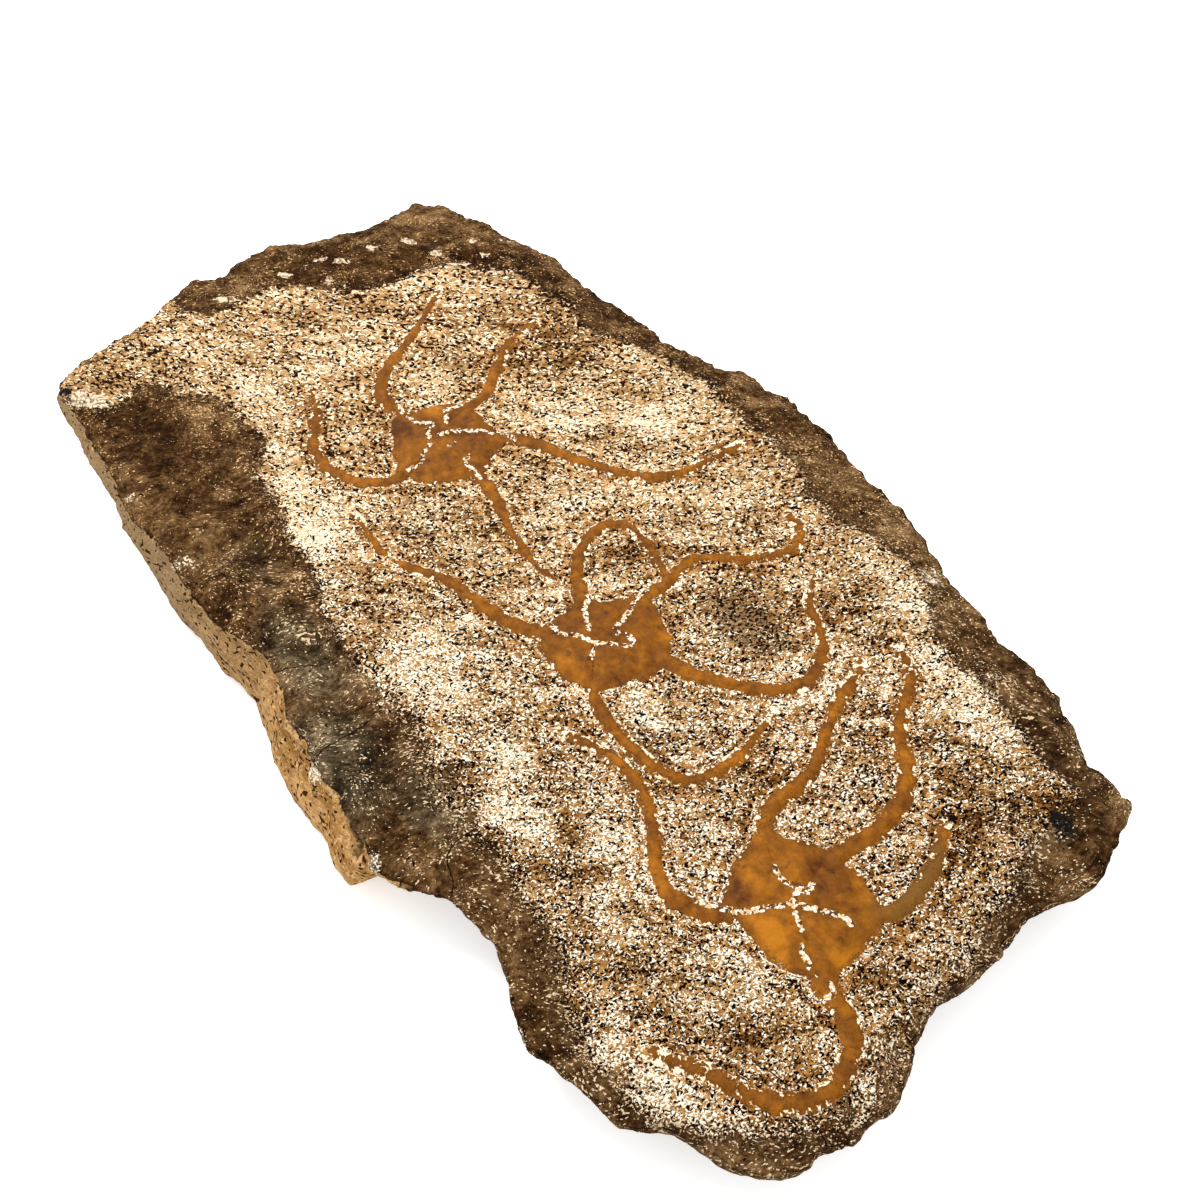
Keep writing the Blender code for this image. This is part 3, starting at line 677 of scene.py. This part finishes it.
# Each star: its arms, each a route from the disc to the tip, and the chalky lines on its disc.
STARS = {
    "starfish_upper": {
        "arms": [
            [(-74, -3.5), (-85, -2), (-92, 4), (-100, 16.5), (-109, 29), (-119, 42)],
            [(-62, 13), (-64, 23), (-74, 35), (-81, 43.5), (-84, 57)],
            [(-46, 15), (-39, 21.5), (-20, 30), (-7, 39), (-1, 49), (0.5, 74)],
            [(-40, 1.5), (-28, 1), (-10, -3.5), (10, -5.6)],
            [(-48, -15), (-50, -22), (-57, -29), (-68, -32.5), (-79, -29), (-90, -22),
             (-100, -19)]],
        "beads": [
            [(-56, 1), (-55, 4), (-53.5, 7), (-51, 11.5), (-49, 13.5), (-47.5, 14.5)],
            [(-45.5, 17), (-44.5, 18), (-41.5, 18.5)],
            [(-60, 1), (-61.5, 2), (-63.5, 0), (-65, -1.5), (-71, -1.5)],
            [(-76, -1), (-72.5, -2)], [(-59.5, 5.5), (-62, 7.5)], [(-64, 8), (-64, 14)],
            [(-50, 1), (-50, 2.5)], [(-43, 3.5), (-42, 1.2), (-37, 1.2), (-34, 1)],
            [(-54, -3.5), (-52, -7), (-50.5, -8), (-49.5, -10), (-49.5, -14)],
            [(-60, -0.5), (-56, -2.5)]]},
    "starfish_middle": {
        "arms": [
            [(22, -18.5), (15, -22.5), (2, -25.5), (-9, -28.5), (-22, -35.5), (-33, -36.3),
             (-45, -34)],
            [(22, -3), (17.5, -1), (7, 6.5), (2.5, 16), (5, 23.5), (13, 24.3), (30, 21)],
            [(30, 11), (30, 20), (27.5, 31), (36, 42.5), (41.5, 56), (38, 62), (29, 64)],
            [(47, 1.5), (57, 5), (73, 17), (77.5, 27), (72, 38), (58, 46), (51, 55)],
            [(46, -18.5), (57, -21), (73, -20), (82, -15.5), (84, -2), (79, 15)]],
        "beads": [
            [(35, -2), (34, 0), (33, 3), (32, 5), (29.5, 9), (28.5, 13)],
            [(36.5, -2.5), (38, -1), (41, -0.5), (41.5, -2), (40.5, -3.5)],
            [(39, -5), (36.5, -8), (33, -10), (30, -11.5), (27, -14), (22, -14)],
            [(31, -8), (28, -6), (24, -4), (22, -1.5), (20.5, -0.5)],
            [(36, -10), (38, -12), (38.5, -13.5)]]},
    "starfish_lower": {
        "arms": [
            [(115, -30), (108, -37.5), (98, -38), (88, -31.5), (77, -26), (64, -26.7),
             (51, -32.5)],
            [(106, -12.5), (99.5, -5.5), (98, 9), (88, 27), (81, 44)],
            [(118, -5), (119, 12), (114, 26), (101, 36), (92, 50), (82, 54)],
            [(135, -6), (136.5, 4), (133.5, 15), (127, 25)],
            [(137, -25), (150, -27.5), (156.5, -39), (152, -50), (139, -57.5), (127, -65)]],
        "beads": [
            [(121, -17.5), (119, -14.5), (117, -16), (114, -16), (112, -15)],
            [(119, -14.5), (121.5, -13.5), (120.5, -11.5)],
            [(122.5, -17.5), (125, -15.5), (128.5, -13), (131, -11.5), (133, -11.2)],
            [(122, -18.5), (124, -19.5), (127.5, -21)], [(130, -23.5), (132, -24.5), (134.5, -25)],
            [(140, -24.5), (142, -25.5), (141.5, -28)],
            [(120.5, -19), (120, -21), (119, -22.5), (118, -24.5), (117, -26.5), (115, -29),
             (113, -31), (109, -34)],
            [(110, -31), (107, -33.5), (103, -35.5), (99, -35), (95, -33), (91, -30.5)]]},
}
LIGHT_LOBES = [
    (-67, 6, 4, 3, 0, 1), (123, -27, 5, 3, 0, 1), (128, -29, 4, 2.5, 0, 0.8),
    (112, -22, 3, 3, 0, 0.7), (137, -18, 3, 3, 0, 0.6), (36, -18, 6, 3, 0, 0.7)]
DARK_LOBES = [
    (-58, 4, 22, 18, 0, 0.35), (36, -8, 22, 18, 0, 0.35),
    (-66, -6, 8, 4, 0, 0.9), (-50, 6, 6, 5, 0, 0.4), (27, -12, 6, 5, 0, 0.6), (44, -4, 6, 8, 0, 0.4),
    (122, -8, 8, 5, 0, 0.5), (111, -26, 4, 5, 0, 0.5)]
FADED_ARM = [(135, 10, 8, 17, 0, 1)]
OCHRE, OCHRE_LIGHT, OCHRE_DARK = tint(134, 80, 10), tint(180, 110, 20), tint(84, 45, 3)
OLIVE = tint(112, 80, 34)
BEAD, BEAD_GAP = tint(255, 244, 224), tint(60, 42, 26)

# Mottled ochre, darker in the arm joints and, partly as painted shade, along the edges; ragged crumbs
# of stone lie over the edges.
fossil = Shades("ochre_fossil")
tone = fossil.sum((fossil.noise(90, 3, 0.6), 0.5), (fossil.noise(300, 4, 0.7), 0.6),
                  (fossil.layer("lobe"), 0.2), (-0.05, 1.0))
body = fossil.ramp(tone, [(0.3, OCHRE_DARK), (0.5, OCHRE), (0.7, OCHRE_LIGHT)])
spots_on = fossil.step(fossil.noise(330, 3, 0.65), 0.6, 0.72)
body = fossil.mix(fossil.both(spots_on, 0.6), body, OCHRE_DARK)
crumb = fossil.noise(760, 3, 0.62, 0.8)
body = fossil.mix(fossil.both(fossil.layer("faded"), 0.75), body, OLIVE)
joint = fossil.step(fossil.sum((fossil.layer("plate"), 0.4), crumb), 0.78, 1.0)
body = fossil.mix(fossil.both(joint, 0.6), body, OCHRE_DARK)
broken = fossil.noise(330, 1)
ragged = fossil.sum((fossil.layer("inward"), -0.4), (crumb, 1.5), (broken, 0.8),
                    (fossil.layer("tip"), 0.12))
# A dark band along the edges, where the star meets the stone: partly darker ochre, partly painted
# shade.
body = fossil.mix(fossil.both(fossil.step(ragged, 0.85, 1.1), 0.5), body, OCHRE_DARK)
edge_cover = fossil.step(ragged, 1.16, 1.2)
body = fossil.mix(edge_cover, body, TAN)
body = fossil.mix(fossil.step(ragged, 1.26, 1.3), body, CREAM)
beads = fossil.step(fossil.sum((fossil.layer("bead"), 1.0), (crumb, 6.0),
                               (fossil.noise(900, 1), 5.0), (-5.3, 1.0)), 0.75, 1.0)
gaps = fossil.step(fossil.sum((fossil.layer("bead"), 1.0), (crumb, -5.0), (2.5, 1.0)), 0.9, 1.2)
body = fossil.mix(fossil.both(gaps, 0.7), body, BEAD_GAP)
beads = fossil.both(beads, fossil.step(fossil.layer("bead"), 0.1, 0.3))
bead_colour = fossil.mix(fossil.step(fossil.noise(1300, 1), 0.46, 0.54), BEAD, PALE_TAN)
body = fossil.mix(beads, body, bead_colour)
fossil.tree.links.new(body, fossil.shader.inputs["Base Color"])
fossil.shader.inputs["Roughness"].default_value = 0.62
fossil.shader.inputs["Specular IOR Level"].default_value = 0.12
fossil.bump(fossil.sum((crumb, 0.5), (beads, 0.6), (edge_cover, 0.5)), 0.5 * MM)


def smooth_line(points, pace):
    """Even steps along a smooth curve through a line's points."""
    places = [Vector(point) for point in points]
    padded = [places[0] * 2 - places[1]] + places + [places[-1] * 2 - places[-2]]
    line = []
    for before, start, end, after in zip(padded, padded[1:], padded[2:], padded[3:]):
        steps = max(1, round((end - start).length / pace))
        start_handle, end_handle = start + (end - before) / 6, end - (after - start) / 6
        line += interpolate_bezier(start, start_handle, end_handle, end, steps + 1)[:-1]
    return [tuple(place) for place in line + [places[-1]]]


for name, star in STARS.items():
    piece = take_copy(name, name + "_fossil")
    cut_long_edges(piece, rounds=4, longest=lambda middles: np.full(len(middles), STAR_GRAIN))
    soften(piece, times=4)
    places = corners_of(piece)
    up = normals_of(piece)[:, 2]
    floor = np.array([ground.ray_cast((x, y, 1), (0, 0, -1))[0].z for x, y, _ in places])
    height = places[:, 2] - floor
    lift = STAR_RELIEF * (height - SOLID_EDGE) + SHOWN_EDGE
    places[:, 2] = floor + np.where(up < 0, -ROOT, lift)
    move_corners(piece, places)
    roughen(piece, name + "_wobble", "CLOUDS", size=4 * MM, height=0.8 * MM,
            direction="RGB_TO_XYZ", noise_depth=1, cloud_type="COLOR")
    roughen(piece, name + "_lumps", "CLOUDS", size=5 * MM, height=0.5 * MM, noise_depth=2)

    places = corners_of(piece)
    spots = plan_of(places)
    bead, plate, tip, thicker = np.zeros((4, len(spots)))
    for line in star["beads"]:
        gap, _, _ = line_distance(spots, smooth_line(line, 1))
        bead = np.maximum(bead, 1 - rise(gap, 0.2, 1.15))
    nearest = np.full(len(spots), 4.0)
    for route in star["arms"]:
        gap, _, along = line_distance(spots, smooth_line(route, 2))
        here = (gap < nearest) & (along > 3)
        nearest[here] = gap[here]
        wave = 0.5 - 0.5 * np.cos(2 * math.pi * (along + 0.35 * gap) / PLATE)
        plate[here] = (wave ** 3)[here]
        tip[here] = rise(along / along.max(), 0.8, 1)[here]
        thicker[here] = rise(along / along.max(), 0.1, 0.9)[here]
    growth = ARM_GROWTH[0] + ARM_GROWTH[1] * thicker[:, None]
    places[:, :2] += normals_of(piece)[:, :2] * growth * MM
    places[:, 2] += (BEAD_RISE * bead - PLATE_DIP * plate) * (up > 0) * MM
    move_corners(piece, places)
    keep_layer(piece, "bead", bead)
    keep_layer(piece, "plate", plate)
    keep_layer(piece, "tip", tip)
    low_rim = spots[(up > 0) & (lift < 0.3 * MM)]
    keep_layer(piece, "inward", nearest_gap(spots, low_rim))
    keep_layer(piece, "faded", patches(spots, FADED_ARM))
    keep_layer(piece, "lobe", patches(spots, LIGHT_LOBES) - patches(spots, DARK_LOBES))
    piece.data.materials.append(fossil.material)
    piece.data.polygons.foreach_set("use_smooth", np.ones(len(piece.data.polygons), dtype=bool))
    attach(piece, "root")
    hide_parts(name)

# Table and light -----------------------------------------------------------------------------
# The plate lies on a lit white table, under one broad soft lamp high on the far left and
# a bright white room, so that its shadow is faint.
TABLE_SIZE = 6
LAMP_PLACE = Vector((-0.6, -0.06, 1.15))
bpy.ops.mesh.primitive_plane_add(size=TABLE_SIZE)
table = bpy.context.active_object
table.name = "table"
paper = Shades("white_table")
paper.shader.inputs["Base Color"].default_value = (0.9, 0.9, 0.89, 1)
paper.shader.inputs["Roughness"].default_value = 1
paper.shader.inputs["Emission Color"].default_value = (1, 1, 1, 1)
paper.shader.inputs["Emission Strength"].default_value = 0.42
table.data.materials.append(paper.material)

bpy.ops.object.light_add(type="AREA", location=LAMP_PLACE)
lamp = bpy.context.active_object
lamp.data.energy = 12
lamp.data.size = 0.5
lamp.rotation_euler = (-LAMP_PLACE).to_track_quat("-Z", "Y").to_euler()
room = bpy.data.worlds.new("room")
bpy.context.scene.world = room
room.use_nodes = True
room.node_tree.nodes["Background"].inputs["Color"].default_value = (1, 1, 1, 1)
room.node_tree.nodes["Background"].inputs["Strength"].default_value = 1.15
bpy.context.scene.view_settings.view_transform = "Standard"
